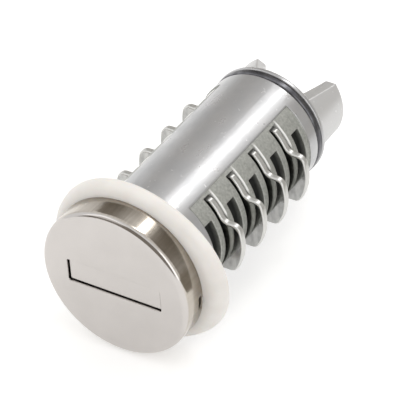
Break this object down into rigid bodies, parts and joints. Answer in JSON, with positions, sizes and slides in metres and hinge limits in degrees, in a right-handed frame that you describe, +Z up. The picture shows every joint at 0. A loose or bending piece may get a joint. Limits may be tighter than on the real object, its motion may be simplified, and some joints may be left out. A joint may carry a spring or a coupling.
{
  "type": "lock cylinder",
  "caption": "Key-turned lock cylinder with a shuttered keyhole face cap, spring-loaded wafers standing out of both sides, a soft seal ring, a rear snap ring and drive dogs.",
  "frame": {"origin": "centre of the outer face of the face cap", "axes": "+Y runs back along the cylinder's axis to the drive dogs, +Z is up, across the keyhole's short side, and +X is right along the keyhole's long side"},
  "size_m": [0.0252, 0.0449, 0.0252],
  "materials": {
    "bright_cap": "polished, fine brushed face",
    "zinc": "die-cast zinc, streaky satin, rougher flanks",
    "wafer_plate": "stamped, bright edges and grey faces",
    "shutter_plate": "satin stamped sheet",
    "ivory_ring": "smooth matt, slightly waxy",
    "dark_steel": "black oxide",
    "spring_wire": "drawn wire"
  },
  "bodies": {
    "barrel": {"barrel": "zinc", "face_cap": "bright_cap", "seal_ring": "ivory_ring", "retaining_ring": "dark_steel", "shutter_pin": "spring_wire", "shutter_spring": "spring_wire", "wafer_spring_1": "spring_wire", "wafer_spring_2": "spring_wire", "wafer_spring_3": "spring_wire", "wafer_spring_4": "spring_wire", "wafer_spring_5": "spring_wire", "wafer_spring_6": "spring_wire", "wafer_spring_7": "spring_wire", "wafer_spring_8": "spring_wire", "wafer_spring_9": "spring_wire"},
    "shutter": {"keyhole_shutter": "shutter_plate"},
    "wafer_1": {"wafer_1": "wafer_plate"},
    "wafer_2": {"wafer_2": "wafer_plate"},
    "wafer_3": {"wafer_3": "wafer_plate"},
    "wafer_4": {"wafer_4": "wafer_plate"},
    "wafer_5": {"wafer_5": "wafer_plate"},
    "wafer_6": {"wafer_6": "wafer_plate"},
    "wafer_7": {"wafer_7": "wafer_plate"},
    "wafer_8": {"wafer_8": "wafer_plate"},
    "wafer_9": {"wafer_9": "wafer_plate"}
  },
  "joints": [
    {"name": "wafer_1_slide", "type": "slide", "parent": "barrel", "child": "wafer_1", "axis": [-1, 0, 0], "range_m": [-0.002, 0], "stiffness_N_per_m": 40, "springref_m": 0.003, "deforming": ["wafer_spring_1"]},
    {"name": "wafer_2_slide", "type": "slide", "parent": "barrel", "child": "wafer_2", "axis": [1, 0, 0], "range_m": [-0.002, 0], "stiffness_N_per_m": 40, "springref_m": 0.003, "deforming": ["wafer_spring_2"]},
    {"name": "wafer_3_slide", "type": "slide", "parent": "barrel", "child": "wafer_3", "axis": [-1, 0, 0], "range_m": [-0.002, 0], "stiffness_N_per_m": 40, "springref_m": 0.003, "deforming": ["wafer_spring_3"]},
    {"name": "wafer_4_slide", "type": "slide", "parent": "barrel", "child": "wafer_4", "axis": [1, 0, 0], "range_m": [-0.002, 0], "stiffness_N_per_m": 40, "springref_m": 0.003, "deforming": ["wafer_spring_4"]},
    {"name": "wafer_5_slide", "type": "slide", "parent": "barrel", "child": "wafer_5", "axis": [-1, 0, 0], "range_m": [-0.002, 0], "stiffness_N_per_m": 40, "springref_m": 0.003, "deforming": ["wafer_spring_5"]},
    {"name": "wafer_6_slide", "type": "slide", "parent": "barrel", "child": "wafer_6", "axis": [1, 0, 0], "range_m": [-0.002, 0], "stiffness_N_per_m": 40, "springref_m": 0.003, "deforming": ["wafer_spring_6"]},
    {"name": "wafer_7_slide", "type": "slide", "parent": "barrel", "child": "wafer_7", "axis": [-1, 0, 0], "range_m": [-0.002, 0], "stiffness_N_per_m": 40, "springref_m": 0.003, "deforming": ["wafer_spring_7"]},
    {"name": "wafer_8_slide", "type": "slide", "parent": "barrel", "child": "wafer_8", "axis": [1, 0, 0], "range_m": [-0.002, 0], "stiffness_N_per_m": 40, "springref_m": 0.003, "deforming": ["wafer_spring_8"]},
    {"name": "wafer_9_slide", "type": "slide", "parent": "barrel", "child": "wafer_9", "axis": [-1, 0, 0], "range_m": [-0.002, 0], "stiffness_N_per_m": 40, "springref_m": 0.003, "deforming": ["wafer_spring_9"]},
    {"name": "shutter_hinge", "type": "hinge", "parent": "barrel", "child": "shutter", "pos_m": [0, 0.0014, 0.0025], "axis": [1, 0, 0], "range_deg": [0, 90], "stiffness_Nm_per_rad": 0.0001, "springref_deg": -28.65, "deforming": ["shutter_spring"]}
  ]
}
